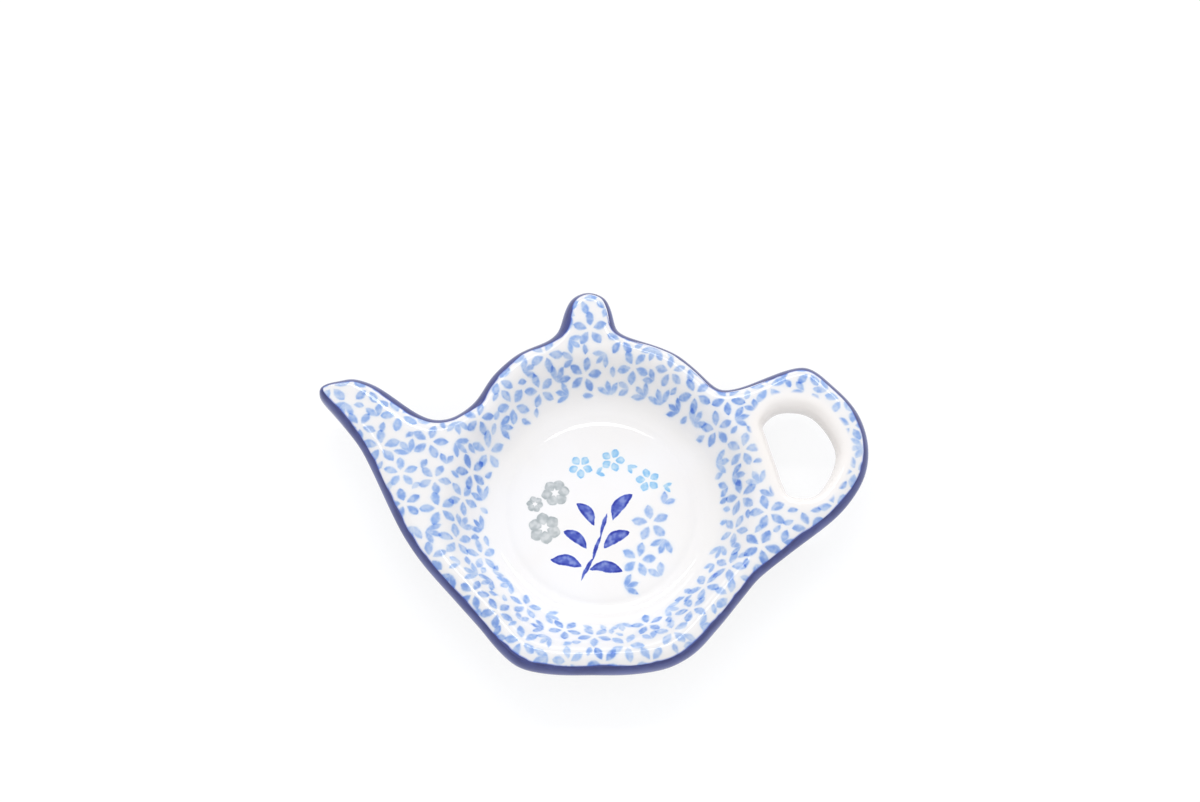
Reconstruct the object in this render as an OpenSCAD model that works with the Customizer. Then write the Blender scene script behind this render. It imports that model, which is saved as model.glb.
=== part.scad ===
// A glazed stoneware rest for used tea bags: a shallow dish with a teapot's outline.
// It lies flat with the lid's knob towards +Y, the spout towards -X and the handle towards +X.
// The clay is one fired piece. Each coat of glaze and the bare foot ring has a solid of its own: white
// over the face, cobalt round the edge, and clear on the underside and inside the foot ring.

/* [Belly and well] */
// Radius of the belly, from the well's centre to its outer edge
belly_radius = 44.5; // [40:0.5:52]
// Radius of the flat floor of the well
floor_radius = 25.5; // [20:0.5:28]
// Height of the floor above the table
floor_height = 5; // [4.25:0.25:7]
// Height of the rim above the table
rim_height = 17; // [15:0.5:22]
// How much wider the curve at the foot of the well's wall is than the curve at its top
wall_skew = 1.15; // [1:0.05:1.4]
// Width of the faint ring pressed round the edge of the floor
groove_width = 2.4; // [1.5:0.1:4]
// Depth of that ring
groove_depth = 0.3; // [0.1:0.05:0.5]

/* [Spout] */
// How far the spout stands out past the belly's radius
spout_length = 27.5; // [20:0.5:36]
// Height of the spout's upper edge over the well's centre, seen from above
spout_rise = 32.3; // [28:0.1:37]
// Depth of the shallow trough where the spout leaves the well
spout_dip = 0.8; // [0:0.1:1.5]

/* [Knob] */
// How far the knob stands out past the belly's radius
knob_height = 11.7; // [11:0.1:16]
// Width of the knob
knob_width = 12; // [9:0.1:15]
// How far the knob's middle lies to the spout's side of the well's centre
knob_offset = 3.6; // [0:0.1:6]
// Depth of the shallow trough where the knob leaves the well
knob_dip = 0.5; // [0:0.1:1.5]

/* [Handle] */
// How far the handle stands out past the belly's radius
handle_length = 23; // [21.5:0.5:25]
// Height of the handle's upper edge over the well's centre, seen from above
handle_rise = 35.5; // [34.5:0.1:40]
// Width of the eye through the handle
eye_width = 18.3; // [16:0.1:19]
// Height of the eye, seen from above
eye_height = 23.1; // [14:0.1:23.5]
// Width of the bar between the eye and the handle's outermost edge
grip_width = 8.35; // [8:0.05:9.4]
// Width of the roll round the eye, from its crest to its narrowest line
eye_roll = 3.4; // [2:0.1:3.6]

/* [Rim] */
// Thickness of the rim, spout, knob and handle
rim_thickness = 8; // [6:0.5:9.5]
// Width of the rim's roll, from its crest to the outermost edge
roll_width = 4; // [3:0.1:4.2]
// How far inside the outermost edge the face glaze ends
line_inset = 1.5; // [0.8:0.1:2]

/* [Foot] */
// Outer radius of the foot ring
foot_radius = 31; // [27:0.5:33]
// Width of the foot ring
foot_width = 3.2; // [2:0.1:5]
// Height of the foot ring
foot_height = 1.6; // [1:0.1:2.4]
// Width of the bevel round the foot ring's outer edge
foot_bevel = 0.5; // [0.2:0.05:0.8]

/* [Glaze] */
// Thickness of every coat of glaze
glaze = 0.35; // [0.2:0.05:0.5]

/* [Hidden] */

// Outline of the spout, from its lower corner round the tip to the notch.
// Each row is the reach past the belly, the rise, and the roll.
spout_shares = [
    [-0.01, -0.51, 1.0], [0.215, -0.217, 1.0], [0.41, 0.124, 1.0], [0.60, 0.44, 0.95],
    [0.84, 0.70, 0.62], [0.985, 0.855, 0.4], [0.945, 0.945, 0.45], [0.80, 0.985, 0.6],
    [0.66, 1.0, 0.8], [0.475, 0.947, 1.1], [0.295, 0.845, 1.3], [0.105, 0.73, 1.35],
    [-0.075, 0.665, 1.2], [-0.265, 0.69, 1.0]
];
// Outline of the belly from the notch at the spout up to the knob: along, across and roll.
spout_shoulder_shares = [[-0.717, 0.595, 0.95], [-0.625, 0.744, 0.95], [-0.481, 0.88, 1.0]];
// Outline of the knob: share of its half width, share of its height and roll.
knob_shares = [
    [-1.75, -0.16, 1.0], [-1.22, 0.1, 0.95], [-0.98, 0.5, 0.9], [-0.64, 0.85, 0.85], [0.05, 1.0, 0.85],
    [0.76, 0.86, 0.85], [1.07, 0.52, 0.9], [1.28, 0.13, 0.95], [1.82, -0.06, 1.0]
];
// Outline of the belly from the knob down to the notch at the handle.
handle_shoulder_shares = [[0.301, 0.94, 1.0], [0.443, 0.875, 1.0], [0.562, 0.771, 0.95]];
// Outline of the handle, from the notch round to the belly's other corner.
handle_shares = [
    [-0.62, 0.835, 0.95], [-0.34, 0.86, 1.0], [0.01, 0.955, 0.95], [0.345, 1.0, 0.9], [0.62, 0.87, 0.9],
    [0.885, 0.665, 0.9], [1.0, 0.41, 0.9], [0.925, 0.145, 0.9], [0.635, -0.115, 0.95], [0.23, -0.325, 1.0],
    [-0.19, -0.54, 1.0]
];
// Outline of the belly from the handle round its flat bottom edge to the spout.
bottom_shares = [
    [0.81, -0.535, 1.0], [0.71, -0.662, 1.0], [0.62, -0.77, 1.0], [0.515, -0.88, 1.0],
    [0.368, -0.962, 1.0], [0.17, -0.997, 1.0], [-0.055, -1.0, 1.0], [-0.275, -0.995, 1.0],
    [-0.452, -0.955, 1.0], [-0.572, -0.857, 1.0], [-0.67, -0.74, 1.0], [-0.827, -0.562, 1.0]
];
// Outline of the eye, clockwise from its corner by the notch: shares of its half sizes and its roll.
eye_shares = [
    [-0.955, 0.7, 0.8], [-0.46, 0.995, 1.0], [0.42, 0.86, 1.0], [1.01, 0.02, 0.95],
    [0.5, -0.89, 0.72], [-0.22, -0.97, 0.8], [-0.48, -0.68, 0.75], [-0.61, -0.35, 0.7],
    [-0.74, -0.02, 0.7], [-0.88, 0.36, 0.75]
];

// Height of the eye's centre over the well's centre, seen from above, as a share of the handle's rise
eye_rise_share = 0.341;

// Steps of each curve between two of its outline's points
outline_steps = 2;
eye_steps = 4;
// Columns across the root of the spout and of the knob, and steps along their sides
spout_across = 5 * outline_steps;
spout_along = 4 * outline_steps;
knob_across = 4 * outline_steps;
knob_along = 2 * outline_steps;
// Places of the rings up the well's wall, over the roll to the line where the face glaze ends, from
// that line to the outermost edge, back under the roll, and under the belly
wall_shares = [0, 0.13, 0.28, 0.43, 0.58, 0.73, 0.87, 1];
upper_roll_shares = [0, 0.55, 1];
outer_roll_shares = [0, 0.5, 1];
tuck_shares = [0.5, 1];
under_shares = [1, 0.72, 0.45, 0.2, 0];
// Places of the rings up the eye's roll, from its narrowest part to its crest
eye_wall_shares = [0.66, 0.5, 0.33, 0.16, 0];
// How far round the eye's roll, from its top to its underside, the face glaze goes
eye_line_share = 0.83;
// The most of a roll's width that the line of the face glaze may stand inside the edge
line_limit_share = 0.9;
// The most of the space between the eye and the border of the handle's face that the eye's roll takes
eye_roll_limit_share = 0.85;
// How much wider apart than their mean the columns of a root are at its ends
root_spread_share = 0.7;
// How soon the root of a limb falls in with the round rim, and how soon the curves of its root and
// of its end fade out over its face
root_power = 4;
fade_power = 6;
half_turn = 180;
quarter_turn = 90;
// Angle of the belly's outer wall where it meets the rolled rim
wall_lean = 31;
// Share of a bulge in the belly's underside below the rim and below the spout, knob and handle
rim_bulge_share = 0.3;
// Number of columns in which the underside changes from one to the other
lean_columns = 3;
// How far the fillet of glaze climbs the foot ring, in coats
fillet_coats = 2;

mid_height = rim_height - rim_thickness / 2;

function lerp(a, b, share) = a + (b - a) * share;
function unit(v) = v / norm(v);
function left_of(v) = [-v.y, v.x];

// A smooth closed curve through points, and the same points moved in by the width of a roll
function spline(p0, p1, p2, p3, t) =
    let (
        slope = p2 - p0,
        bend = 2 * p0 - 5 * p1 + 4 * p2 - p3,
        twist = 3 * p1 - p0 - 3 * p2 + p3
    )
    (2 * p1 + slope * t + bend * t * t + twist * t * t * t) / 2;
function loop_through(points, steps) = let (n = len(points)) [
    for (i = [0 : n - 1], k = [0 : steps - 1])
        spline(points[(i + n - 1) % n], points[i], points[(i + 1) % n], points[(i + 2) % n], k / steps)
];
function inset_points(points, rolls) = let (n = len(points)) [
    for (i = [0 : n - 1])
        let (along = unit(points[(i + 1) % n] - points[(i + n - 1) % n]))
        points[i] - left_of(along) * rolls[i]
];

// The outermost edge and the crest of the rolled rim, seen from above, with the well's centre at zero
outline_rows = concat(
    [for (s = spout_shares) [-belly_radius - s.x * spout_length, s.y * spout_rise, s.z]],
    [for (s = spout_shoulder_shares) [s.x * belly_radius, s.y * belly_radius, s.z]],
    [for (s = knob_shares) [s.x * knob_width / 2 - knob_offset, belly_radius + s.y * knob_height, s.z]],
    [for (s = handle_shoulder_shares) [s.x * belly_radius, s.y * belly_radius, s.z]],
    [for (s = handle_shares) [belly_radius + s.x * handle_length, s.y * handle_rise, s.z]],
    [for (s = bottom_shares) [s.x * belly_radius, s.y * belly_radius, s.z]]
);
edge_points = [for (r = outline_rows) [r.x, r.y]];
edge = loop_through(edge_points, outline_steps);
crest = loop_through(inset_points(edge_points, [for (r = outline_rows) r.z * roll_width]), outline_steps);
columns = len(edge);

// The narrowest line of the eye, with the full width of the roll beside each point
eye_centre = [belly_radius + handle_length - grip_width - eye_width / 2, handle_rise * eye_rise_share];
eye_rows = loop_through([
    for (s = eye_shares)
        [eye_centre.x + s.x * eye_width / 2, eye_centre.y + s.y * eye_height / 2, s.z * eye_roll]
], eye_steps);
eye_edge = [for (r = eye_rows) [r.x, r.y]];
eye_columns = len(eye_edge);

// Outline columns at the corners where spout, knob and handle meet the belly
spout_start = 0;
spout_end = spout_start + 2 * spout_along + spout_across;
knob_start = spout_end + (len(spout_shoulder_shares) + 1) * outline_steps;
knob_end = knob_start + 2 * knob_along + knob_across;
handle_start = knob_end + (len(handle_shoulder_shares) + 1) * outline_steps;
handle_end = handle_start + (len(handle_shares) - 1) * outline_steps;
handle_across = handle_end - handle_start;

// The root of a limb: a curve round the well's centre between two outline columns, clockwise
function root_point(first, last, share) =
    let (
        a = crest[first],
        b = crest[last],
        start = atan2(a.y, a.x),
        turn = (start - atan2(b.y, b.x) + 4 * half_turn) % (2 * half_turn),
        angle = start - turn * (share + root_spread_share * sin(2 * half_turn * share) / (2 * PI)),
        plain = belly_radius - roll_width,
        radius = plain + (norm(a) - plain) * pow(1 - share, root_power)
            + (norm(b) - plain) * pow(share, root_power)
    )
    share == 0 ? a : share == 1 ? b : [cos(angle), sin(angle)] * radius;

// The border of the handle's face, from the notch round the rim and back along the handle's root
function handle_border(k) =
    k <= handle_across ? crest[handle_start + k]
        : root_point(handle_start, handle_end, 2 - k / handle_across);
// The crest of the eye's roll, which narrows where the bar beside it is narrow
function room(point) = min([for (k = [0 : eye_columns - 1]) norm(handle_border(k) - point)]);
eye_rolls = [for (r = eye_rows) min(r.z, room([r.x, r.y]) * eye_roll_limit_share)];
eye_crest = inset_points(eye_edge, -eye_rolls);

// A crown across a root: nothing at its ends and all of the depth in the middle
function crown(share) = 4 * share * (1 - share);

// Columns of the belly: place of the rim, depth of the trough there, outline column or -1
function root_columns(first, last, count, dip) = [
    for (k = [0 : count - 1])
        [root_point(first, last, k / count), dip * crown(k / count), k == 0 ? first : -1]
];
function rim_columns(first, last) = [for (j = [first : last - 1]) [crest[j], 0, j]];
belly_columns = concat(
    root_columns(spout_start, spout_end, spout_across, spout_dip),
    rim_columns(spout_end, knob_start),
    root_columns(knob_start, knob_end, knob_across, knob_dip),
    rim_columns(knob_end, handle_start),
    root_columns(handle_start, handle_end, handle_across, 0),
    rim_columns(handle_end, columns)
);

// How much of the leaning outer wall lies under an outline column: none by the spout, knob and handle
corners = [spout_start, spout_end, knob_start, knob_end, handle_start, handle_end, columns];
function on_belly(j) =
    (j > spout_end && j < knob_start) || (j > knob_end && j < handle_start) || j > handle_end;
function lean_share(j) =
    on_belly(j) ? min(1, min([for (c = corners) abs(j - c)]) / lean_columns) : 0;

// A point on the rolled rim, turned from the crest, with skin taken off its surface
function rim_point(j, angle, skin) =
    let (
        across = edge[j] - crest[j],
        place = crest[j] + unit(across) * (norm(across) - skin) * sin(angle),
        height = mid_height + (rim_thickness / 2 - skin) * cos(angle)
    )
    [place.x, place.y, height];
function eye_point(k, angle, skin) =
    let (
        i = k % eye_columns,
        across = eye_edge[i] - eye_crest[i],
        place = eye_crest[i] + unit(across) * (norm(across) - skin) * sin(angle),
        height = mid_height + (rim_thickness / 2 - skin) * cos(angle)
    )
    [place.x, place.y, height];
// The angle at which the face glaze ends, and the angle at which the roll meets the underside
function line_angle(j) = asin(1 - min(line_inset / norm(edge[j] - crest[j]), line_limit_share));
function end_angle(j) = half_turn - wall_lean * lean_share(j);

// A point at a height, on the upper or the lower face of the spout, knob or handle
function at_height(place, height) = [place.x, place.y, height];
function face_height(skin) = mid_height + (rim_thickness / 2 - skin);
function under_height(skin) = mid_height - (rim_thickness / 2 - skin);

// The well: rings from the floor's groove up the wall to the rim
function floor_ring(radius, height) = [
    for (i = [0 : len(belly_columns)]) let (c = belly_columns[i % len(belly_columns)])
        at_height(unit(c[0]) * radius, height)
];
function wall_rise(share) = (1 - cos(half_turn * pow(share, wall_skew))) / 2;
function wall_ring(share, skin) = [
    for (i = [0 : len(belly_columns)])
        let (
            c = belly_columns[i % len(belly_columns)],
            top = face_height(skin) - c[1],
            place = share == 1 ? c[0] : unit(c[0]) * lerp(floor_radius, norm(c[0]), share)
        )
        at_height(place, share == 1 ? top : lerp(floor_height - skin, top, wall_rise(share)))
];
function well_grid(skin) = concat(
    [
        floor_ring(floor_radius - groove_width, floor_height - skin),
        floor_ring(floor_radius - groove_width / 2, floor_height - groove_depth - skin)
    ],
    [for (share = wall_shares) wall_ring(share, skin)]
);

// The belly's underside: rings from the rim in to the foot
function under_ring(share, skin) = [
    for (i = [0 : len(belly_columns)])
        let (
            c = belly_columns[i % len(belly_columns)],
            j = c[2],
            rim = j < 0 ? at_height(c[0], under_height(skin)) : rim_point(j, end_angle(j), skin),
            bulge = j < 0 ? 1 : lerp(1, rim_bulge_share, lean_share(j)),
            plan = [rim.x, rim.y],
            place = unit(plan) * lerp(foot_radius - skin, norm(plan), share),
            climb = lerp(share, sin(half_turn / 2 * share), bulge)
        )
        share == 1 ? rim : at_height(place, lerp(foot_height, rim.z, climb))
];
function under_grid(skin) = [for (share = under_shares) under_ring(share, skin)];

// The rolled rim: up to the line where the face glaze ends, and on from there over the outermost
// edge and back under the rim
function upper_ring(share, skin) = [
    for (i = [0 : columns]) rim_point(i % columns, line_angle(i % columns) * share, skin)
];
function outer_ring(share, skin) = [
    for (i = [0 : columns])
        rim_point(i % columns, lerp(line_angle(i % columns), quarter_turn, share), skin)
];
function tuck_ring(share, skin) = [
    for (i = [0 : columns])
        rim_point(i % columns, lerp(quarter_turn, end_angle(i % columns), share), skin)
];
function upper_roll_grid(skin) = [for (share = upper_roll_shares) upper_ring(share, skin)];
function lower_roll_grid(skin) = concat(
    [for (share = outer_roll_shares) outer_ring(share, skin)],
    [for (share = tuck_shares) tuck_ring(share, skin)]
);

// A limb seen from above: straight rows from its one side to its other, which bow out near its root
// and near its end
function limb_point(first, last, along, u, v) =
    let (
        row = u * along,
        end = first + along,
        root_bow = root_point(first, last, v) - lerp(crest[first], crest[last], v),
        end_bow = crest[end + v * (last - along - end)] - lerp(crest[end], crest[last - along], v)
    )
    lerp(crest[first + row], crest[last - row], v)
        + root_bow * pow(1 - u, fade_power) + end_bow * pow(u, fade_power);
function limb_plan(first, last, along, across) = [
    for (row = [0 : along]) [
        for (column = [0 : across])
            row == 0 ? root_point(first, last, column / across)
                : row == along ? crest[first + along + column]
                : column == 0 ? crest[first + row]
                : column == across ? crest[last - row]
                : limb_point(first, last, along, row / along, column / across)
    ]
];
spout_plan = limb_plan(spout_start, spout_end, spout_along, spout_across);
knob_plan = limb_plan(knob_start, knob_end, knob_along, knob_across);

// The upper or lower face of a limb, with the trough in the upper one
function limb_grid(plan, dip, skin, lower) = let (along = len(plan) - 1, across = len(plan[0]) - 1) [
    for (row = [0 : along]) [
        for (column = [0 : across])
            let (sag = dip * crown(column / across) * (1 - row / along))
            at_height(plan[row][column], lower ? under_height(skin) : face_height(skin) - sag)
    ]
];
function spout_grid(skin, lower) = limb_grid(spout_plan, spout_dip, skin, lower);
function knob_grid(skin, lower) = limb_grid(knob_plan, knob_dip, skin, lower);

// The handle: rings up the eye's roll and out to the border of the handle's face
function eye_ring(share, skin) = [for (k = [0 : eye_columns]) eye_point(k, half_turn * share, skin)];
function border_ring(height) = [
    for (k = [0 : eye_columns]) at_height(handle_border(k % eye_columns), height)
];
function handle_face_grid(skin) = concat(
    [eye_ring(eye_line_share, skin)],
    [for (share = eye_wall_shares) eye_ring(share, skin)],
    [border_ring(face_height(skin))]
);
function handle_under_grid(skin) = [
    border_ring(under_height(skin)), eye_ring(1, skin), eye_ring(eye_line_share, skin)
];

// Each sheet is a list of grids, and a grid that is turned over is marked by true
function face_sheet(skin, turned) = [
    [well_grid(skin), turned], [spout_grid(skin, false), turned], [knob_grid(skin, false), turned],
    [handle_face_grid(skin), turned], [upper_roll_grid(skin), turned]
];
function edge_sheet(skin, turned) = [[lower_roll_grid(skin), turned]];
function under_sheet(skin, turned) = [
    [under_grid(skin), turned], [spout_grid(skin, true), !turned], [knob_grid(skin, true), !turned],
    [handle_under_grid(skin), turned]
];
// Borders between the surface and the clay below it, where one coat of glaze ends at the next
function rim_border(turned) = [[upper_ring(1, 0), upper_ring(1, glaze)], turned];
function tuck_border(turned) = [[tuck_ring(1, glaze), tuck_ring(1, 0)], turned];
function eye_border(turned) = [[eye_ring(eye_line_share, glaze), eye_ring(eye_line_share, 0)], turned];
function foot_border(turned) = [[under_ring(0, 0), under_ring(0, glaze)], turned];

// Two triangles for every four neighbours in a grid, split the same way when it is turned over
function grid_faces(rows, across, first, turned) = [
    for (r = [0 : rows - 2], c = [0 : across - 2])
        let (a = first + r * across + c, b = a + 1, d = a + across, e = d + 1)
        each turned ? [[a, b, d], [b, e, d]] : [[a, d, b], [b, d, e]]
];
function points_before(grids, n) =
    n == 0 ? 0 : points_before(grids, n - 1) + len(grids[n - 1][0]) * len(grids[n - 1][0][0]);
function disc_faces(count, first, turned) = [
    for (i = [1 : count - 2])
        let (a = first + i, b = a + 1)
        turned ? [first, b, a] : [first, a, b]
];

// A closed solid of grids. Each disc closes the first row of a grid, or its last row by true, and
// a disc that is turned over is marked by true as well.
module sheets_solid(grids, discs) {
    points = [for (g = grids) each [for (row = g[0]) each row]];
    faces = concat(
        [
            for (n = [0 : len(grids) - 1])
                let (rows = grids[n][0])
                each grid_faces(len(rows), len(rows[0]), points_before(grids, n), grids[n][1])
        ],
        [
            for (d = discs)
                let (g = grids[d[0]][0], row = d[1] ? len(g) - 1 : 0, across = len(g[0]))
                each disc_faces(across - 1, points_before(grids, d[0]) + row * across, d[2])
        ]
    );
    polyhedron(points, faces, convexity = 8);
}

// Middle of the whole outline, which goes to zero
middle = [
    (min([for (p = edge) p.x]) + max([for (p = edge) p.x])) / 2,
    (min([for (p = edge) p.y]) + max([for (p = edge) p.y])) / 2
];
module on_middle() {
    translate([-middle.x, -middle.y, 0]) children();
}

module stoneware_body() {
    well = 0;
    underside = len(face_sheet(glaze, false)) + len(edge_sheet(glaze, false));
    color("antiquewhite")
        on_middle()
            sheets_solid(
                concat(face_sheet(glaze, false), edge_sheet(glaze, false), under_sheet(glaze, false)),
                [[well, false, false], [underside, true, true]]
            );
}

module foot_ring() {
    color("tan")
        on_middle()
            rotate_extrude()
                polygon([
                    [foot_radius - foot_width, foot_height], [foot_radius - foot_width, 0],
                    [foot_radius - foot_bevel, 0], [foot_radius, foot_bevel], [foot_radius, foot_height]
                ]);
}

module face_glaze() {
    well = 0;
    well_below = len(face_sheet(0, false));
    color("white")
        on_middle()
            sheets_solid(
                concat(
                    face_sheet(0, false), face_sheet(glaze, true),
                    [rim_border(false), eye_border(false)]
                ),
                [[well, false, false], [well_below, false, true]]
            );
}

module edge_glaze() {
    color("midnightblue")
        on_middle()
            sheets_solid(
                concat(edge_sheet(0, false), edge_sheet(glaze, true), [rim_border(true), tuck_border(true)]),
                []
            );
}

module under_glaze() {
    color("linen")
        on_middle()
            sheets_solid(
                concat(
                    under_sheet(0, false), under_sheet(glaze, true),
                    [tuck_border(false), eye_border(true), foot_border(false)]
                ),
                []
            );
}

module base_glaze() {
    inner_radius = foot_radius - foot_width;
    fillet = glaze * fillet_coats;
    color("whitesmoke")
        on_middle()
            rotate_extrude()
                polygon([
                    [0, foot_height], [inner_radius, foot_height], [inner_radius, foot_height - fillet],
                    [inner_radius - fillet, foot_height - glaze], [0, foot_height - glaze]
                ]);
}

stoneware_body();
foot_ring();
face_glaze();
edge_glaze();
under_glaze();
base_glaze();
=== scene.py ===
"""A glazed stoneware tea bag rest in the outline of a teapot, lying on a pale floor.

The coats of glaze are one smooth skin over the clay, cut apart where one coat ends at the next.
The blue decoration is laid out first, as a list of marks, and each face of the white glaze then
carries the few marks that can reach it. Places and sizes of the dish are in metres, as the frame
is, and those of the decoration and of the patterns in the glaze are in millimetres.
"""

import math
import random
from collections import namedtuple

import bpy
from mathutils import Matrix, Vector
from mathutils.kdtree import KDTree


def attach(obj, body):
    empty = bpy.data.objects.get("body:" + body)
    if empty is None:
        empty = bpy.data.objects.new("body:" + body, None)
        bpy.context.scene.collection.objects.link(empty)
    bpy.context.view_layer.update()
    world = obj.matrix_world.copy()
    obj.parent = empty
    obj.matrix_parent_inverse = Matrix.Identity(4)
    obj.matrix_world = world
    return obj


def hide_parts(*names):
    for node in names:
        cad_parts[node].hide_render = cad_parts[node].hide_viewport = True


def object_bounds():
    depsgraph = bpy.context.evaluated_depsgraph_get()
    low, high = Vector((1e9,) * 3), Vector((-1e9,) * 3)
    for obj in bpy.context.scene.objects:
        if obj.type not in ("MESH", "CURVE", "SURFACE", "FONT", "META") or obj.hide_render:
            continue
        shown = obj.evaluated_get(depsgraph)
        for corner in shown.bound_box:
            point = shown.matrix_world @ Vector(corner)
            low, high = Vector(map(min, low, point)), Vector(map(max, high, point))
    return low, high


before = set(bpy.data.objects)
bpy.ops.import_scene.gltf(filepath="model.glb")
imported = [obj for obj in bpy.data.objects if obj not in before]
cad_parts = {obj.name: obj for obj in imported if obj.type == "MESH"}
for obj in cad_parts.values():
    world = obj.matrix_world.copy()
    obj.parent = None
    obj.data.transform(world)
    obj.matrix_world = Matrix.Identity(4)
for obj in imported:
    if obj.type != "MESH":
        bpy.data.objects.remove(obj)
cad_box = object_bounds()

MM = 0.001

# The coats of glaze, in the order that the faces of the skin are numbered by
COATS = ("face_glaze", "edge_glaze", "under_glaze")
GLAZE = 0.35 * MM

# The middles of the well and of the handle's eye, and how far from there the eye's border lies at most
WELL = Vector((2.044 * MM, -5.828 * MM))
EYE = Vector((52.04 * MM, 6.28 * MM))
EYE_REACH = 17 * MM

# The well's flat floor: its height, the disc that gets new faces, and how level its vertices have to be.
# Then the rings of new faces, from the outermost inwards.
FLOOR_HEIGHT = 5.0 * MM
FLOOR_DISC = 23.2 * MM
FLOOR_SLACK = 0.01 * MM
OUTER_RING = 23.1 * MM
RING_STEP = 2.2 * MM
RINGS = 10

# How near to each other vertices are merged within a coat, lie on each other on two surfaces, and are one
# place on the border that two coats share
WELD = 0.002 * MM
TOUCH = 0.004 * MM
MEET = 0.001 * MM

# How the skin's corners move to keep its size: their most, as a distance and as a share of the way to a
# neighbour, the number of rounds, and the weight of a corner's own gap against its neighbours' gaps
MOST_MOVE = 0.6 * MM
MOST_SHARE = 0.4
MOVE_ROUNDS = 5
OWN_GAP = 0.6
# They stay up to the first distance from the well's middle, and are free from the second
STAY_TO = 27 * MM
FREE_FROM = 31 * MM

# The potter's hand: the width and depth of what is uneven, and the heights between which that sets in
UNEVEN_WIDTH = 17 * MM
UNEVEN_DEPTH = 0.2 * MM
UNEVEN_FROM = 2 * MM
UNEVEN_RISE = 4 * MM

# The skin stays this far inside the CAD box
HAIR = 0.002 * MM

SMOOTH_LEVELS = 2
SMOOTH_ANGLE = math.radians(50)

# How much longer the sloping wall of the well is than it looks from above, and where it slopes
WALL_EXTRA = 4.2
WALL_FROM = 24.0
WALL_TO = 40.5
# Nothing is divided by a length below this
TINY = 0.001

# How many marks a face carries, the parts of a mark that it carries them in, and the seed of the chance
# that scatters them
NEAREST = 6
MARK_PARTS = ("centre", "petal", "fan", "brush")
SEED = 11


# Colours

def colour(r, g, b):
    """A colour as seen on a screen, from 0 to 255, in Blender's linear terms."""
    def linear(c):
        c /= 255
        return c / 12.92 if c <= 0.04045 else ((c + 0.055) / 1.055) ** 2.4
    return (linear(r), linear(g), linear(b), 1.0)


WHITE = colour(240, 239, 240)
CREAM = colour(233, 228, 219)
NAVY = colour(56, 65, 127)
NAVY_DEEP = colour(45, 51, 108)
# Thinned cobalt over clay, whose lighter tone also serves as a painted reflection in the band
NAVY_THIN_AND_REFLECTION = colour(116, 124, 174)
HALO = colour(96, 132, 228)

# The pigments of the decoration. A stamp's tone lies anywhere from pale to deep.
PIGMENTS = (
    ("sky", colour(146, 203, 248)),
    ("pale", colour(169, 200, 248)),
    ("deep", colour(131, 167, 233)),
    ("cobalt", colour(58, 78, 186)),
    ("grey", colour(178, 187, 190)),
)
TONE = {name: float(n) for n, (name, tint) in enumerate(PIGMENTS)}


# The smooth skin of glaze

def smoothstep(low, high, x):
    t = min(max((x - low) / (high - low), 0), 1)
    return t * t * (3 - 2 * t)


def points_of(node):
    """The places of a CAD node's vertices."""
    return [v.co.copy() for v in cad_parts[node].data.vertices]


def tree_of(points):
    tree = KDTree(len(points))
    for i, p in enumerate(points):
        tree.insert(p, i)
    tree.balance()
    return tree


def only(*chosen):
    """Selects these objects and nothing else, the first of them active."""
    bpy.ops.object.select_all(action="DESELECT")
    for o in chosen:
        o.select_set(True)
    bpy.context.view_layer.objects.active = chosen[0]


def select_faces(piece, test):
    """Selects the faces that pass the test and nothing else, and leaves the piece in edit mode."""
    bpy.ops.object.mode_set(mode="OBJECT")
    mesh = piece.data
    for v in mesh.vertices:
        v.select = False
    for e in mesh.edges:
        e.select = False
    for f in mesh.polygons:
        f.select = test(f)
    bpy.ops.object.mode_set(mode="EDIT")
    bpy.ops.mesh.select_mode(type="FACE")


def outer_side(node, coat, clay):
    """A copy of the outer side of a coat of glaze, without the side that lies on the clay."""
    piece = bpy.data.objects.new(node + "_skin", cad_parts[node].data.copy())
    bpy.context.scene.collection.objects.link(piece)
    only(piece)
    bpy.ops.object.mode_set(mode="EDIT")
    bpy.ops.mesh.select_all(action="SELECT")
    bpy.ops.mesh.remove_doubles(threshold=WELD)
    bpy.ops.object.mode_set(mode="OBJECT")
    on_clay = [clay.find(v.co)[2] < TOUCH for v in piece.data.vertices]
    select_faces(piece, lambda f: any(on_clay[i] for i in f.vertices))
    bpy.ops.mesh.delete(type="FACE")
    bpy.ops.object.mode_set(mode="OBJECT")
    coats = piece.data.attributes.new("coat", "INT", "FACE")
    coats.data.foreach_set("value", [coat] * len(piece.data.polygons))
    return piece


def join_coats():
    """The outer sides of the three coats as one mesh, in edit mode."""
    clay = tree_of(points_of("stoneware_body"))
    coats = [outer_side(node, i, clay) for i, node in enumerate(COATS)]
    only(*coats)
    bpy.ops.object.join()
    skin = bpy.context.object
    skin.name = skin.data.name = "glaze_skin"
    bpy.ops.object.mode_set(mode="EDIT")
    bpy.ops.mesh.select_all(action="SELECT")
    bpy.ops.mesh.remove_doubles(threshold=TOUCH)
    return skin


def mesh_evenly(skin):
    """Divides the well's flat floor into rings of even faces, and turns the rest into quads."""
    def on_floor(f):
        corners = [skin.data.vertices[i].co for i in f.vertices]
        return all(
            abs(c.z - FLOOR_HEIGHT) < FLOOR_SLACK and (c.xy - WELL).length < FLOOR_DISC for c in corners
        )
    select_faces(skin, on_floor)
    bpy.ops.mesh.dissolve_faces()
    for n in range(RINGS - 1):
        here = OUTER_RING - n * RING_STEP
        share = (here - RING_STEP) / here
        bpy.ops.mesh.inset(thickness=0, depth=0)
        bpy.ops.transform.resize(value=(share, share, 1), center_override=(WELL.x, WELL.y, FLOOR_HEIGHT))
    bpy.ops.mesh.select_all(action="SELECT")
    bpy.ops.mesh.tris_convert_to_quads(face_threshold=math.pi, shape_threshold=math.pi)
    bpy.ops.object.mode_set(mode="OBJECT")


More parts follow.
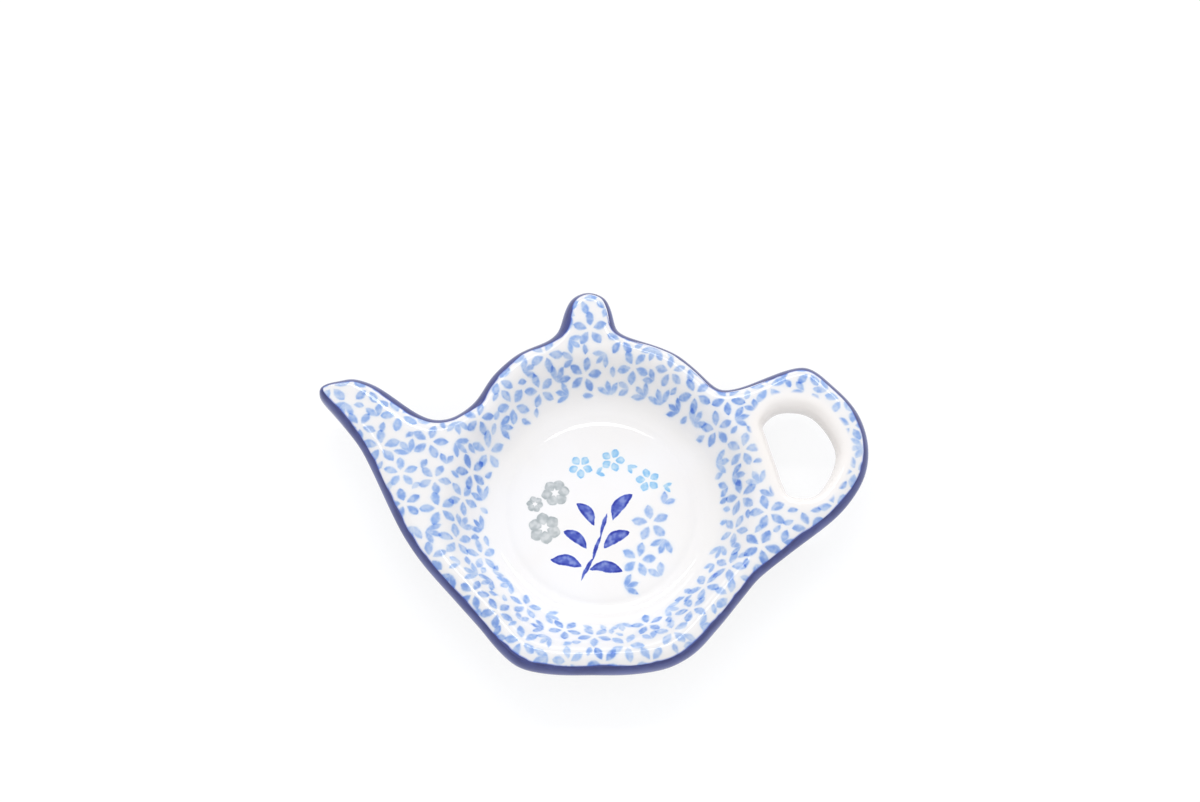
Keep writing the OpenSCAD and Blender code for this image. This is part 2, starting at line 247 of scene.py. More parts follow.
def keep_size(skin):
    """Moves the corners outwards until the smoothed skin goes through the places they had."""
    places = [v.co.copy() for v in skin.data.vertices]
    beside = [[] for place in places]
    for e in skin.data.edges:
        one, other = e.vertices
        beside[one].append(other)
        beside[other].append(one)
    # A corner moves by no more than a share of the way to its neighbours, so rows can't cross, and
    # round the well's floor it stays, which leaves the groove there softer
    room = [
        min(MOST_MOVE, MOST_SHARE * min((places[n] - place).length for n in near))
        * smoothstep(STAY_TO, FREE_FROM, (place.xy - WELL).length)
        for place, near in zip(places, beside)
    ]
    for turn in range(MOVE_ROUNDS):
        smoothed = skin.evaluated_get(bpy.context.evaluated_depsgraph_get()).data
        gaps = [place - smoothed.vertices[i].co for i, place in enumerate(places)]
        for i, near in enumerate(beside):
            even = sum((gaps[n] for n in near), Vector()) / len(near)
            wanted = OWN_GAP * gaps[i] + (1 - OWN_GAP) * even
            moved = skin.data.vertices[i].co + wanted - places[i]
            if moved.length > room[i]:
                moved.length = room[i]
            skin.data.vertices[i].co = places[i] + moved
        skin.data.update()


def smooth_skin(skin):
    """Smooths the skin by subdivision, without letting it shrink."""
    smooth = skin.modifiers.new("smooth", "SUBSURF")
    smooth.levels = smooth.render_levels = SMOOTH_LEVELS
    keep_size(skin)
    bpy.ops.object.modifier_apply(modifier=smooth.name)


def make_uneven(skin):
    """The potter's hand: every point is moved a little, but not near the foot."""
    above = skin.vertex_groups.new(name="above the foot")
    for v in skin.data.vertices:
        above.add([v.index], min(max((v.co.z - UNEVEN_FROM) / UNEVEN_RISE, 0), 1), "REPLACE")
    clouds = bpy.data.textures.new("uneven clay", "CLOUDS")
    clouds.cloud_type = "COLOR"
    clouds.noise_scale = UNEVEN_WIDTH
    clouds.noise_depth = 1
    uneven = skin.modifiers.new("uneven", "DISPLACE")
    uneven.texture = clouds
    uneven.texture_coords = "LOCAL"
    uneven.direction = "RGB_TO_XYZ"
    uneven.mid_level = 0.5
    uneven.strength = UNEVEN_DEPTH
    uneven.vertex_group = above.name
    bpy.ops.object.modifier_apply(modifier=uneven.name)
    skin.vertex_groups.clear()
    for v in skin.data.vertices:
        v.co = [min(max(c, low + HAIR), high - HAIR) for c, low, high in zip(v.co, *cad_box)]


def make_skin():
    """The three coats' outer sides as one smooth skin, slightly uneven as hand-made ware is."""
    skin = join_coats()
    mesh_evenly(skin)
    smooth_skin(skin)
    make_uneven(skin)
    return skin


def cut_coat(skin, coat, name):
    """The outer side of one coat, cut from the skin."""
    piece = bpy.data.objects.new(name, skin.data.copy())
    piece.data.name = name
    bpy.context.scene.collection.objects.link(piece)
    only(piece)
    coats = [d.value for d in piece.data.attributes["coat"].data]
    select_faces(piece, lambda f: coats[f.index] != coat)
    bpy.ops.mesh.delete(type="FACE")
    bpy.ops.object.mode_set(mode="OBJECT")
    piece.data.attributes.remove(piece.data.attributes["coat"])
    return piece


def give_thickness(piece, node, slot):
    """Lays a coat's thickness inwards from its outer side, and has the piece stand for its CAD node."""
    only(piece)
    wall = piece.modifiers.new("thickness", "SOLIDIFY")
    wall.thickness = GLAZE
    wall.offset = -1
    wall.use_even_offset = True
    bpy.ops.object.modifier_apply(modifier=wall.name)
    bpy.ops.object.shade_smooth_by_angle(angle=SMOOTH_ANGLE)
    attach(piece, "root")
    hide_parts(node)


def border(piece, other):
    """Places where two coats meet."""
    tree = tree_of([v.co for v in other.data.vertices])
    return [v.co.copy() for v in piece.data.vertices if tree.find(v.co)[2] < MEET]


def write_values(piece, name, values):
    """Gives each vertex a number of its own, for the materials."""
    made = piece.data.attributes.new(name, "FLOAT", "POINT")
    made.data.foreach_set("value", values)


def distances(piece, points):
    """Each vertex's distance from the nearest of some points, in millimetres."""
    tree = tree_of(points)
    return [tree.find(v.co)[2] / MM for v in piece.data.vertices]


# The layout of the decoration

# A stamp's petals: their half length and half width, how far they stand from the stamp's foot, the angle
# between them, their number and their bend. Then how far the stamp's middle lies from its foot, and from
# that middle the room that it takes and its reach.
Stamp = namedtuple("Stamp", "half wide stand pitch petals bend middle room reach")
STAMPS = {
    "blossom": Stamp(1.8, 0.98, 2.75, 72, 5, 0.0, 0.0, 3.95, 4.3),
    "crown": Stamp(1.85, 0.74, 1.95, 46, 3, 0.0, 1.5, 2.45, 2.5),
    "pair": Stamp(1.6, 0.76, 1.7, 62, 2, 0.0, 1.2, 2.0, 2.1),
    "petal": Stamp(1.3, 0.7, 0.0, 360, 1, 0.06, 0.0, 1.25, 1.2),
}
# How often each kind is tried on the rim, and how close it may come to others
TRIES = (("blossom", 2500, 1.0), ("crown", 3000, 0.95), ("pair", 3000, 0.95), ("petal", 4000, 0.95))
# From the smallest to the largest, and from the palest to the strongest
STAMP_SIZES = (0.94, 1.12)
STAMP_STRENGTHS = (0.74, 1.13)
# How soft the edge of a stamped mark is, of one painted with a brush, and of a small flower
STAMP_SOFT = 0.34
BRUSH_SOFT = 0.14
FLOWER_SOFT = 0.2

# The stamps lie on faces that look up at least so much, outside a circle that sways from side to side
LEAST_UP = 0.35
RIM_INNER = 30.3
RIM_SWAY = 1.0
RIM_SWAY_TURN = 0.5
# They keep this far from the eye, and a share of their reach, less on its outer side
EYE_ROOM = 1.6
EYE_SHARE_OUTER = 0.5
EYE_SHARE_INNER = 0.62

# The sprig in the well: place and turn of its stem's strokes, with half their length, and of its leaves,
# with half their length and width, and their bend
STEM = ((-3.6, -15.2, 62, 3.2), (-1.2, -9.6, 72, 3.3), (0.5, -3.8, 75, 3.1))
STEM_HALF_WIDTH = 0.46
STEM_BEND = 0.02
STEM_STRENGTH = 1.3
LEAVES = (
    (-8.6, -13.0, 168, 4.0, 1.45, -0.05), (1.3, -14.6, -4, 4.1, 1.5, 0.06),
    (-6.1, -7.0, 142, 3.7, 1.4, -0.06), (3.5, -7.0, 34, 3.9, 1.5, 0.06),
    (-3.3, -0.4, 126, 3.6, 1.35, -0.06), (4.6, 1.6, 54, 4.2, 1.55, 0.06),
)
LEAF_STRENGTH = 1.35
# The daisies: place, size and turn, and a petal's half length, half width and distance from the middle
DAISIES = ((-14.3, -4.6, 1.25, 10), (-11.6, 4.8, 1.08, 40), (-16.8, 1.8, 0.65, 20))
DAISY_PETAL = (1.35, 1.25, 2.0)
# The small flowers: place and turn, and the same of their petals
FLOWERS = ((3.0, 13.6, 0), (12.0, 8.2, 30), (-5.2, 11.8, 55))
FLOWER_PETAL = (1.25, 0.98, 1.9)
# The bud beside each of them: the way to it, how it is turned, and its petals
BUD_RIGHT = 4.2
BUD_DOWN = 1.6
BUD_TURN = 40
BUD_PETAL = (1.25, 0.5, 0.8)
WELL_STAMPS = (
    ("blossom", 12.6, -3.2), ("blossom", 9.4, -12.8), ("crown", 15.6, -9.0), ("pair", 16.6, 2.9),
    ("crown", 7.3, -19.6), ("pair", 14.4, -16.0),
)


def unrolled(place):
    """A place in the well as it lies when the sloping wall is laid flat, in millimetres."""
    out = (Vector(place).xy - WELL) / MM
    far = max(out.length, TINY)
    return out * (far + WALL_EXTRA * smoothstep(WALL_FROM, WALL_TO, far)) / far


def mark(x, y, turn, half, wide, stand=0.0, pitch=360, petals=1, tone=0.0, bend=0.0, soft=0.22, strength=1.0):
    """One painted mark: petals fanned round a centre, or a single leaf or stroke."""
    return {
        "centre": (x, y, math.radians(turn)),
        "petal": (half, wide, stand),
        "fan": (math.radians(pitch), (petals - 1) / 2, tone),
        "brush": (bend, soft, strength),
        "reach": stand + half,
    }


def stamp(kind, x, y, draw):
    """One of the small stamps that the rim is covered with."""
    turn = draw.uniform(0, 360)
    tone = draw.uniform(TONE["pale"], TONE["deep"])
    size = draw.uniform(*STAMP_SIZES)
    strength = draw.uniform(*STAMP_STRENGTHS)
    x -= kind.middle * size * math.cos(math.radians(turn))
    y -= kind.middle * size * math.sin(math.radians(turn))
    return mark(
        x, y, turn, kind.half * size, kind.wide * size, kind.stand * size, kind.pitch, kind.petals,
        tone, kind.bend, STAMP_SOFT, strength,
    )


def lay_out_rim(face, hole):
    """Stamps scattered over the rim, spout, knob and handle, larger ones first."""
    draw = random.Random(SEED)
    faces = [f for f in face.data.polygons if f.normal.z > LEAST_UP]
    weights = [f.area for f in faces]
    done = []
    for name, tries, closeness in TRIES:
        kind = STAMPS[name]
        for f in draw.choices(faces, weights, k=tries):
            spot = unrolled(f.center)
            inner = RIM_INNER + RIM_SWAY * math.cos(math.atan2(spot.y, spot.x) - RIM_SWAY_TURN)
            if spot.length < inner + kind.reach:
                continue
            away = hole.find(Vector((f.center.x, f.center.y, 0)))[2] / MM
            share = EYE_SHARE_OUTER if f.center.x > EYE.x else EYE_SHARE_INNER
            if away < EYE_ROOM + kind.reach * share:
                continue
            if any((spot - other).length < (kind.room + taken) * closeness for other, taken in done):
                continue
            done.append((spot, kind.room))
            yield stamp(kind, spot.x, spot.y, draw)


def lay_out_well():
    """The painting in the well: a leafy sprig, round grey daisies, small sky-blue flowers and stamps."""
    cobalt, grey, sky = TONE["cobalt"], TONE["grey"], TONE["sky"]
    for x, y, turn, half in STEM:
        yield mark(
            x, y, turn, half, STEM_HALF_WIDTH, tone=cobalt, bend=STEM_BEND, soft=BRUSH_SOFT,
            strength=STEM_STRENGTH,
        )
    for x, y, turn, half, wide, bend in LEAVES:
        yield mark(x, y, turn, half, wide, tone=cobalt, bend=bend, soft=BRUSH_SOFT, strength=LEAF_STRENGTH)
    # A daisy's broad petals run together round an open middle
    for x, y, size, turn in DAISIES:
        half, wide, stand = (size * length for length in DAISY_PETAL)
        yield mark(x, y, turn, half, wide, stand, pitch=60, petals=6, tone=grey)
    for x, y, turn in FLOWERS:
        yield mark(x, y, turn, *FLOWER_PETAL, pitch=72, petals=5, tone=sky, soft=FLOWER_SOFT)
        yield mark(
            x + BUD_RIGHT, y - BUD_DOWN, turn - BUD_TURN, *BUD_PETAL, pitch=70, petals=2, tone=sky,
            soft=FLOWER_SOFT,
        )
    draw = random.Random(SEED + 1)
    for name, x, y in WELL_STAMPS:
        yield stamp(STAMPS[name], x, y, draw)


def gap(spot, m):
    """How far a place lies outside the reach of a mark."""
    x, y, turn = m["centre"]
    return math.hypot(spot.x - x, spot.y - y) - m["reach"]


def carry_marks(face, marks):
    """Gives each face of the white glaze the few marks that come nearest to it."""
    rows = {part: [[] for n in range(NEAREST)] for part in MARK_PARTS}
    for f in face.data.polygons:
        spot = unrolled(f.center)
        ranked = sorted(marks, key=lambda m: gap(spot, m))
        for n in range(NEAREST):
            for part in rows:
                rows[part][n].extend(ranked[n][part])
    for part in rows:
        for n in range(NEAREST):
            made = face.data.attributes.new(f"{part}_{n}", "FLOAT_VECTOR", "FACE")
            made.data.foreach_set("vector", rows[part][n])


# Materials

GLAZE_IOR = 1.5
# How round a petal's outline is, and how much fuller it is towards its tip
PETAL_ROUNDNESS = 0.82
PETAL_TIP = 0.16
# The wobbles in the outline of a stamp, each with its width and its strength
WOBBLES = ((2.6, 0.55), (0.7, 0.22))


def new_material(name):
    made = bpy.data.materials.new(name)
    made.use_nodes = True
    made.node_tree.nodes.clear()
    return made, made.node_tree


def put(tree, kind, feeds=None, **settings):
    """Adds a node, with its settings, and feeds its inputs with values or with other nodes."""
    made = tree.nodes.new("ShaderNode" + kind)
    for name, value in settings.items():
        setattr(made, name, value)
    for place, value in (feeds or {}).items():
        if isinstance(value, bpy.types.NodeSocket):
            tree.links.new(value, made.inputs[place])
        else:
            made.inputs[place].default_value = value
    return made


def maths(tree, operation, *terms):
    return put(tree, "Math", dict(enumerate(terms)), operation=operation).outputs[0]


def product(tree, *terms):
    """All the terms multiplied together."""
    whole = terms[0]
    for term in terms[1:]:
        whole = maths(tree, "MULTIPLY", whole, term)
    return whole


def vectors(tree, operation, *terms):
    made = put(tree, "VectorMath", dict(enumerate(terms)), operation=operation)
    return made.outputs["Value"] if operation in ("LENGTH", "DISTANCE") else made.outputs[0]


def scaled(tree, vector, size):
    return put(tree, "VectorMath", {0: vector, "Scale": size}, operation="SCALE").outputs[0]


def spread(tree, value, low, high, out_low=0.0, out_high=1.0, smooth=True):
    """A value carried from one span to another, held at its ends."""
    feeds = {"Value": value, "From Min": low, "From Max": high, "To Min": out_low, "To Max": out_high}
    way = "SMOOTHSTEP" if smooth else "LINEAR"
    return put(tree, "MapRange", feeds, interpolation_type=way).outputs["Result"]


def blend(tree, share, one, other, way="MIX"):
    """One colour with a share of another laid over it."""
    return put(tree, "Mix", {0: share, 6: one, 7: other}, data_type="RGBA", blend_type=way).outputs[2]


def noise(tree, place, size, detail=2.0, rough=0.5, output="Fac"):
    """Noise with features of a size in millimetres."""
    feeds = {"Vector": place, "Scale": 1 / size, "Detail": detail, "Roughness": rough}
    return put(tree, "TexNoise", feeds).outputs[output]


def patches(tree, place, size, detail, levels, out=(0.0, 1.0)):
    """Soft patches of a size in millimetres, made of noise between two levels."""
    return spread(tree, noise(tree, place, size, detail), *levels, *out)


def in_millimetres(tree):
    return scaled(tree, put(tree, "TexCoord").outputs["Object"], 1 / MM)


def attribute(tree, name, output="Fac"):
    return put(tree, "Attribute", attribute_name=name).outputs[output]


def ramp(tree, value, tints):
    """A colour picked from a row of tints that are evenly spaced from 0 to 1."""
    made = put(tree, "ValToRGB", {0: value})
    band = made.color_ramp
    while len(band.elements) < len(tints):
        band.elements.new(0.5)
    for n, (element, tint) in enumerate(zip(band.elements, tints)):
        element.position = n / (len(tints) - 1)
        element.color = tint
    return made.outputs[0]


def glaze_finish(tree, tint, place, roughness=0.05, ripple=0.013):
    """The clear gloss: fine ripples a few millimetres apart, a slight orange skin and uneven gloss."""
    swell = noise(tree, place, size=5.0, detail=1.0)
    skin = noise(tree, place, size=0.9)
    height = maths(tree, "ADD", swell, product(tree, skin, 0.12))
    bump = put(tree, "Bump", {"Strength": 1.0, "Distance": ripple * MM, "Height": height})
    out = (roughness * 0.75, roughness * 1.35)
    gloss = patches(tree, place, size=8.0, detail=3.0, levels=(0.3, 0.7), out=out)
    shader = put(tree, "BsdfPrincipled", {
        "Base Color": tint, "Roughness": gloss, "IOR": GLAZE_IOR, "Normal": bump.outputs[0],
    })
    put(tree, "OutputMaterial", {"Surface": shader.outputs[0]})


def painted(tree, under, tint, dense):
    """A layer of pigment: it dims each part of the light by a power, so overlaps are deeper in colour."""
    light = put(tree, "SeparateColor", {0: tint}).outputs
    dimmed = {n: maths(tree, "POWER", light[n], dense) for n in range(3)}
    through = put(tree, "CombineColor", dimmed).outputs[0]
    return blend(tree, 1.0, under, through, "MULTIPLY")


def mark_group():
    """One painted mark over what is painted already."""
    group = bpy.data.node_groups.new("painted mark", "ShaderNodeTree")
    for name, kind in (
        ("Colour", "NodeSocketColor"), ("Place", "NodeSocketVector"), ("Mottle", "NodeSocketFloat"),
        ("Centre", "NodeSocketVector"), ("Petal", "NodeSocketVector"), ("Fan", "NodeSocketVector"),
        ("Brush", "NodeSocketVector"),
    ):
        group.interface.new_socket(name, in_out="INPUT", socket_type=kind)
    group.interface.new_socket("Colour", in_out="OUTPUT", socket_type="NodeSocketColor")
    given = group.nodes.new("NodeGroupInput").outputs
    result = group.nodes.new("NodeGroupOutput")

    def parts(vector):
        return put(group, "SeparateXYZ", {0: vector}).outputs

    def calc(operation, *terms):
        return maths(group, operation, *terms)

    cx, cy, turn = parts(given["Centre"])
    half, wide, stand = parts(given["Petal"])
    pitch, limit, tone = parts(given["Fan"])
    bend, soft, strength = parts(given["Brush"])
    centre = put(group, "CombineXYZ", {0: cx, 1: cy}).outputs[0]
    away = vectors(group, "SUBTRACT", given["Place"], centre)
    turned = put(group, "VectorRotate", {
        "Vector": away, "Angle": product(group, turn, -1.0),
    }, rotation_type="Z_AXIS").outputs[0]
    x, y = parts(turned)[:2]
    far = vectors(group, "LENGTH", put(group, "CombineXYZ", {0: x, 1: y}).outputs[0])
    angle = calc("ARCTAN2", y, x)
    # The petal whose turn it is: whole steps from the middle one, or half steps for an even number
    odd = calc("FRACT", limit)
    whole = calc("ROUND", calc("SUBTRACT", calc("DIVIDE", angle, pitch), odd))
    step = calc("MINIMUM", calc("ADD", whole, odd), limit)
    step = calc("MAXIMUM", step, product(group, limit, -1.0))
    local = calc("SUBTRACT", angle, product(group, step, pitch))
    # The place on that petal: how far along it and how far across
    along = calc("SUBTRACT", product(group, far, calc("COSINE", local)), stand)
    across = product(group, far, calc("SINE", local))
    across = calc("ADD", across, product(group, along, along, bend))
    share = calc("DIVIDE", along, half)
    rest = calc("SUBTRACT", 1.0, product(group, share, share))
    full = calc("POWER", calc("MAXIMUM", rest, 0.0), PETAL_ROUNDNESS)
    full = product(group, full, calc("ADD", product(group, share, PETAL_TIP), 1.0))
    room = product(group, wide, calc("ADD", full, calc("MINIMUM", rest, 0.0)))
    outside = calc("SUBTRACT", calc("ABSOLUTE", across), room)
    cover = spread(group, outside, product(group, soft, -1.0), soft, 1.0, 0.0)
    # Pigment lies thinner in blots and in the middle of a brushed stroke, and deeper towards the tip
    blots = spread(group, given["Mottle"], 0.32, 0.68, 0.5, 1.04)
    middle = spread(group, soft, 0.15, 0.3, 0.68, 1.0)
    pooled = spread(group, outside, -0.9, -0.15, middle, 1.05)
    deeper = spread(group, share, -1.0, 1.0, 0.88, 1.06, smooth=False)
    # A trace of it bleeds into the glaze round a stamp
    trace = spread(group, outside, 0.0, 1.3, spread(group, soft, 0.15, 0.3, 0.0, 0.06), 0.0)
    dense = calc("ADD", product(group, blots, pooled, deeper, cover), trace)
    dense = product(group, dense, strength)
    tint = ramp(group, calc("DIVIDE", tone, len(PIGMENTS) - 1.0), [tint for name, tint in PIGMENTS])
    group.links.new(painted(group, given["Colour"], tint, dense), result.inputs[0])
    return group


# Where the cobalt brush ran further over the face: place, size and width, in millimetres
HEAVY = (
    (-8.0, 41.0, 7.0, 0.9), (-27.5, 22.5, 8.0, 0.8), (-22.0, 29.5, 6.0, 0.4), (-19.5, -46.0, 6.0, 0.7),
)
# And where it ran less far, so that white shows down the side
LIGHT = ((4.0, 48.5, 9.0, 0.4), (18.0, 36.5, 9.0, 0.4), (29.0, 31.0, 9.0, 0.4), (38.0, 26.0, 8.0, 0.3))


def strayed(tree, place, spots):
    """How far a coat's border has strayed, from its few places where it does."""
    level = vectors(tree, "MULTIPLY", place, (1.0, 1.0, 0.0))
    total = 0.0
    for x, y, size, amount in spots:
        far = vectors(tree, "DISTANCE", level, (x, y, 0.0))
        total = maths(tree, "MAXIMUM", total, spread(tree, far, 0.4 * size, size, amount, 0.0))
    return total


def laid_flat(tree, place, out, far):
    """The place on the wall laid flat, with the wobble of a hand stamp."""
    extra = spread(tree, far, WALL_FROM, WALL_TO, 0.0, WALL_EXTRA)
    stretch = maths(tree, "DIVIDE", maths(tree, "ADD", far, extra), maths(tree, "MAXIMUM", far, TINY))
    flat = scaled(tree, out, stretch)
    for size, amount in WOBBLES:
        wobble = noise(tree, place, size, detail=1.0, output="Color")
        wobble = vectors(tree, "SUBTRACT", wobble, (0.5, 0.5, 0.5))
        flat = vectors(tree, "ADD", flat, scaled(tree, wobble, amount))
    return flat


def decorated(tree, tint, place, flat):
    """The marks that a face carries, painted one over the other."""
    mottle = noise(tree, place, size=1.7, detail=1.5)
    group = mark_group()
    for n in range(NEAREST):
        step = tree.nodes.new("ShaderNodeGroup")
        step.node_tree = group
        feeds = {"Colour": tint, "Place": flat, "Mottle": mottle}
        for part in MARK_PARTS:
            feeds[part.capitalize()] = attribute(tree, f"{part}_{n}", "Vector")
        for name, value in feeds.items():
            tree.links.new(value, step.inputs[name])
        tint = step.outputs[0]
    return tint


def white_glaze():
    made, tree = new_material("white glaze with blue stamps")
    place = in_millimetres(tree)
    clouded = patches(tree, place, size=22.0, detail=2.0, levels=(0.35, 0.65))
    tint = blend(tree, clouded, WHITE, colour(238, 236, 235))
    specks = patches(tree, place, size=0.35, detail=1.0, levels=(0.74, 0.8), out=(0.0, 0.1))
    tint = blend(tree, specks, tint, colour(150, 140, 120))
    # The glaze is a little greyer over the rim, which is painted all over. It is less grey in the handle's
    # eye, a painted light that lifts the shade in the eye, and there it is also warmer
    middle = (WELL.x / MM, WELL.y / MM, 0.0)
    out = vectors(tree, "MULTIPLY", vectors(tree, "SUBTRACT", place, middle), (1.0, 1.0, 0.0))
    far = vectors(tree, "LENGTH", out)
    away = attribute(tree, "hole")
    rim_grey_and_eye_painted_light = product(tree, spread(tree, far, 29.0, 38.0), spread(tree, away, 0.6, 3.6, 0.45, 1.0))
    # Less grey within a few millimetres of the eye: painted light against the eye's shade
    tint = blend(tree, rim_grey_and_eye_painted_light, tint, colour(244, 244, 245), "MULTIPLY")
    tint = blend(tree, spread(tree, away, 0.6, 3.6, 1.0, 0.0), tint, colour(255, 253, 251), "MULTIPLY")
    # A stamp leaves no colour where the surface falls away into the eye
    stamped = decorated(tree, tint, place, laid_flat(tree, place, out, far))
    tint = blend(tree, spread(tree, away, 1.9, 2.9), tint, stamped)
    # The cobalt band's brushed edge runs a little way over the white, further in a few places
    waver = patches(tree, place, size=6.0, detail=2.0, levels=(0.3, 0.7), out=(-0.25, 0.25))
    line = maths(tree, "ADD", attribute(tree, "line"), waver)
    line = maths(tree, "SUBTRACT", line, strayed(tree, place, HEAVY))
    line = maths(tree, "ADD", line, strayed(tree, place, LIGHT))
    tint = blend(tree, spread(tree, line, 0.05, 0.6, 0.85, 0.0), tint, HALO, "MULTIPLY")
    tint = blend(tree, spread(tree, line, -0.02, 0.2, 1.0, 0.0), tint, NAVY)
    glaze_finish(tree, tint, place)
    return made


def cobalt_glaze():
    made, tree = new_material("cobalt glaze")
    place = in_millimetres(tree)
    drawn_out = vectors(tree, "MULTIPLY", place, (1.0, 1.0, 3.0))
    strokes = noise(tree, drawn_out, size=3.5, detail=3.0, rough=0.6)
    tint = blend(tree, spread(tree, strokes, 0.35, 0.65), NAVY, NAVY_DEEP)
    # Brushed on: it thins out of its deep border and shows greyer clay through. That lighter, greyer part
    # away from the border is also a painted reflection of pale surroundings in the band's sloping side
    line = attribute(tree, "line")
    clouded = patches(tree, place, size=9.0, detail=3.0, levels=(0.35, 0.65), out=(0.5, 1.0))
    thinning_and_reflection = product(tree, spread(tree, line, 0.2, 2.8, 0.0, 0.7), clouded)
    tint = blend(tree, thinning_and_reflection, tint, NAVY_THIN_AND_REFLECTION)
    bare = maths(tree, "SUBTRACT", line, strayed(tree, place, LIGHT))
    tint = blend(tree, spread(tree, bare, -0.12, 0.04), colour(228, 232, 242), tint)
    # Underneath it ends in a wavering line over the clear glaze
    waver = patches(tree, place, size=4.0, detail=2.0, levels=(0.3, 0.7), out=(-0.7, 0.3))
    tail = maths(tree, "ADD", attribute(tree, "tail"), waver)
    tint = blend(tree, spread(tree, tail, -0.1, 0.5, 1.0, 0.0), tint, CREAM)
    glaze_finish(tree, tint, place, roughness=0.1)
    return made


def clear_glaze():
    made, tree = new_material("clear glaze over pale clay")
    place = in_millimetres(tree)
    clouded = patches(tree, place, size=14.0, detail=3.0, levels=(0.3, 0.7))
    tint = blend(tree, clouded, CREAM, colour(225, 217, 203))
    specks = patches(tree, place, size=0.45, detail=1.0, levels=(0.7, 0.78), out=(0.0, 0.3))
    tint = blend(tree, specks, tint, colour(128, 108, 84))
    # White glaze runs a little way over the lower edge of the handle's eye
    tint = blend(tree, spread(tree, attribute(tree, "run"), 0.7, 1.3), tint, WHITE)
    glaze_finish(tree, tint, place, roughness=0.12, ripple=0.02)
    return made


def bare_clay(name, tint_one, tint_two, grain):
    made, tree = new_material(name)
    place = in_millimetres(tree)
    clouded = patches(tree, place, size=6.0, detail=4.0, levels=(0.3, 0.7))
    tint = blend(tree, clouded, tint_one, tint_two)
    grit = noise(tree, place, grain, detail=3.0, rough=0.7)
    tint = blend(tree, spread(tree, grit, 0.62, 0.75, 0.0, 0.5), tint, colour(120, 98, 74))
    bump = put(tree, "Bump", {"Strength": 1.0, "Distance": 0.05 * MM, "Height": grit})
    rough = spread(tree, grit, 0.3, 0.7, 0.7, 0.9)
    shader = put(tree, "BsdfPrincipled", {"Base Color": tint, "Roughness": rough, "Normal": bump.outputs[0]})
    put(tree, "OutputMaterial", {"Surface": shader.outputs[0]})
    return made


def dress(piece, material):
    piece.data.materials.clear()
    piece.data.materials.append(material)


# The dish

# How far from its border the clear glaze is told how near that is
RUN_LIMIT = 2.0


def make_dish():
    skin = make_skin()
    face = cut_coat(skin, 0, "white_face")
    edge = cut_coat(skin, 1, "cobalt_edge")
    under = cut_coat(skin, 2, "clear_underside")
    bpy.data.objects.remove(skin)

    # How far each vertex lies from the borders of its coat, and how far the white glaze runs over the clear
    line = border(face, edge)
    write_values(face, "line", distances(face, line))
    write_values(edge, "line", distances(edge, line))
    write_values(edge, "tail", distances(edge, border(under, edge)))
    write_values(under, "run", [max(RUN_LIMIT - d, 0) for d in distances(under, border(under, face))])

    # The border of the handle's eye in plan, all round
    hole = tree_of([Vector((p.x, p.y, 0)) for p in border(face, under) if (p.xy - EYE).length < EYE_REACH])
    away = [hole.find(Vector((v.co.x, v.co.y, 0)))[2] / MM for v in face.data.vertices]
    write_values(face, "hole", away)
    carry_marks(face, [*lay_out_rim(face, hole), *lay_out_well()])

    clear = clear_glaze()
    for piece, node, slot, material in (
        (face, "face_glaze", "white_glaze", white_glaze()),
        (edge, "edge_glaze", "cobalt_glaze", cobalt_glaze()),
        (under, "under_glaze", "clear_glaze", clear),
    ):
        give_thickness(piece, node, slot)
        dress(piece, material)

    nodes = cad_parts
    stoneware = bare_clay("pale stoneware", colour(226, 214, 192), colour(214, 199, 174), grain=0.6)
    foot = bare_clay("bare foot", colour(216, 200, 172), colour(203, 183, 150), grain=0.5)
    dress(nodes["stoneware_body"], stoneware)
    dress(nodes["foot_ring"], foot)
    dress(nodes["base_glaze"], clear)


# Floor, light and camera

FLOOR_SIZE = 6
FLOOR_GREY = (0.8, 0.8, 0.8, 1)
# What the camera and the glaze see of the floor: mostly a pale glow of its own, so shadows stay light
FLOOR_GLOW = (0.982, 0.988, 1, 1)
FLOOR_GLOW_STRENGTH = 1.12
FLOOR_GLOW_SHARE = 0.7
# Each softbox's name, place, width, height and power
SOFTBOXES = (
    ("high softbox", (0, 0.717, 1.024), 0.95, 0.12, 3.0),
    ("low softbox", (0, 1.41, 0.51), 2.2, 0.24, 3.6),
)
SOFTBOX_AIM = Vector((0, 0, 0.01))
CAMERA_PLACE = (1.8 * MM, -186.84 * MM, 583.95 * MM)
CAMERA_TILT = math.radians(20)
CAMERA_LENS = 71.6
CAMERA_SENSOR = 36
CAMERA_NEAR = 0.01


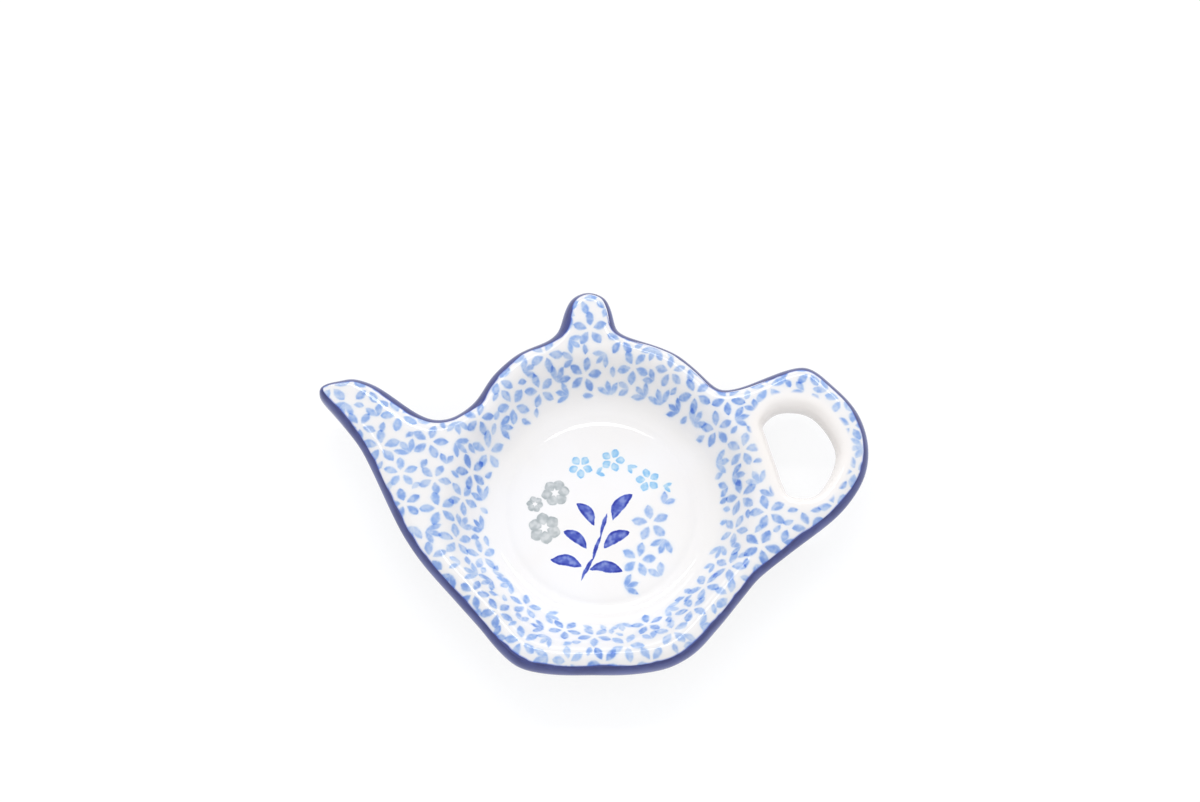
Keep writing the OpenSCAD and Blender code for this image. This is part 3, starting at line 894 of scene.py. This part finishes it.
def make_floor():
    bpy.ops.object.select_all(action="DESELECT")
    bpy.ops.mesh.primitive_plane_add(size=FLOOR_SIZE, location=(0, 0, 0))
    floor = bpy.context.object
    floor.name = "pale_floor"
    made, tree = new_material("pale floor")
    seen = put(tree, "LightPath").outputs
    direct = maths(tree, "MAXIMUM", seen["Is Glossy Ray"], seen["Is Transmission Ray"])
    direct = maths(tree, "MAXIMUM", seen["Is Camera Ray"], direct)
    share = product(tree, direct, FLOOR_GLOW_SHARE)
    matt = put(tree, "BsdfDiffuse", {"Color": FLOOR_GREY}).outputs[0]
    glow = put(tree, "Emission", {"Color": FLOOR_GLOW, "Strength": FLOOR_GLOW_STRENGTH}).outputs[0]
    shown = put(tree, "MixShader", {0: share, 1: matt, 2: glow}).outputs[0]
    put(tree, "OutputMaterial", {"Surface": shown})
    dress(floor, made)


def make_world():
    world = bpy.context.scene.world or bpy.data.worlds.new("studio")
    bpy.context.scene.world = world
    world.use_nodes = True
    tree = world.node_tree
    tree.nodes.clear()
    sky = put(tree, "Background", {"Color": (1, 1, 1, 1), "Strength": 1.0})
    put(tree, "OutputWorld", {"Surface": sky.outputs[0]})


def make_lights():
    for name, place, width, height, power in SOFTBOXES:
        bpy.ops.object.light_add(type="AREA", location=place)
        lamp = bpy.context.object
        lamp.name = name
        lamp.data.shape = "RECTANGLE"
        lamp.data.size = width
        lamp.data.size_y = height
        lamp.data.energy = power
        lamp.rotation_euler = (SOFTBOX_AIM - Vector(place)).to_track_quat("-Z", "Y").to_euler()


def make_camera():
    data = bpy.data.cameras.new("camera")
    data.lens = CAMERA_LENS
    data.sensor_width = CAMERA_SENSOR
    data.clip_start = CAMERA_NEAR
    camera = bpy.data.objects.new("camera", data)
    camera.location = CAMERA_PLACE
    camera.rotation_euler = (CAMERA_TILT, 0, 0)
    bpy.context.scene.collection.objects.link(camera)
    bpy.context.scene.camera = camera


make_dish()
make_floor()
make_world()
make_lights()
make_camera()
bpy.context.scene.view_settings.view_transform = "Standard"
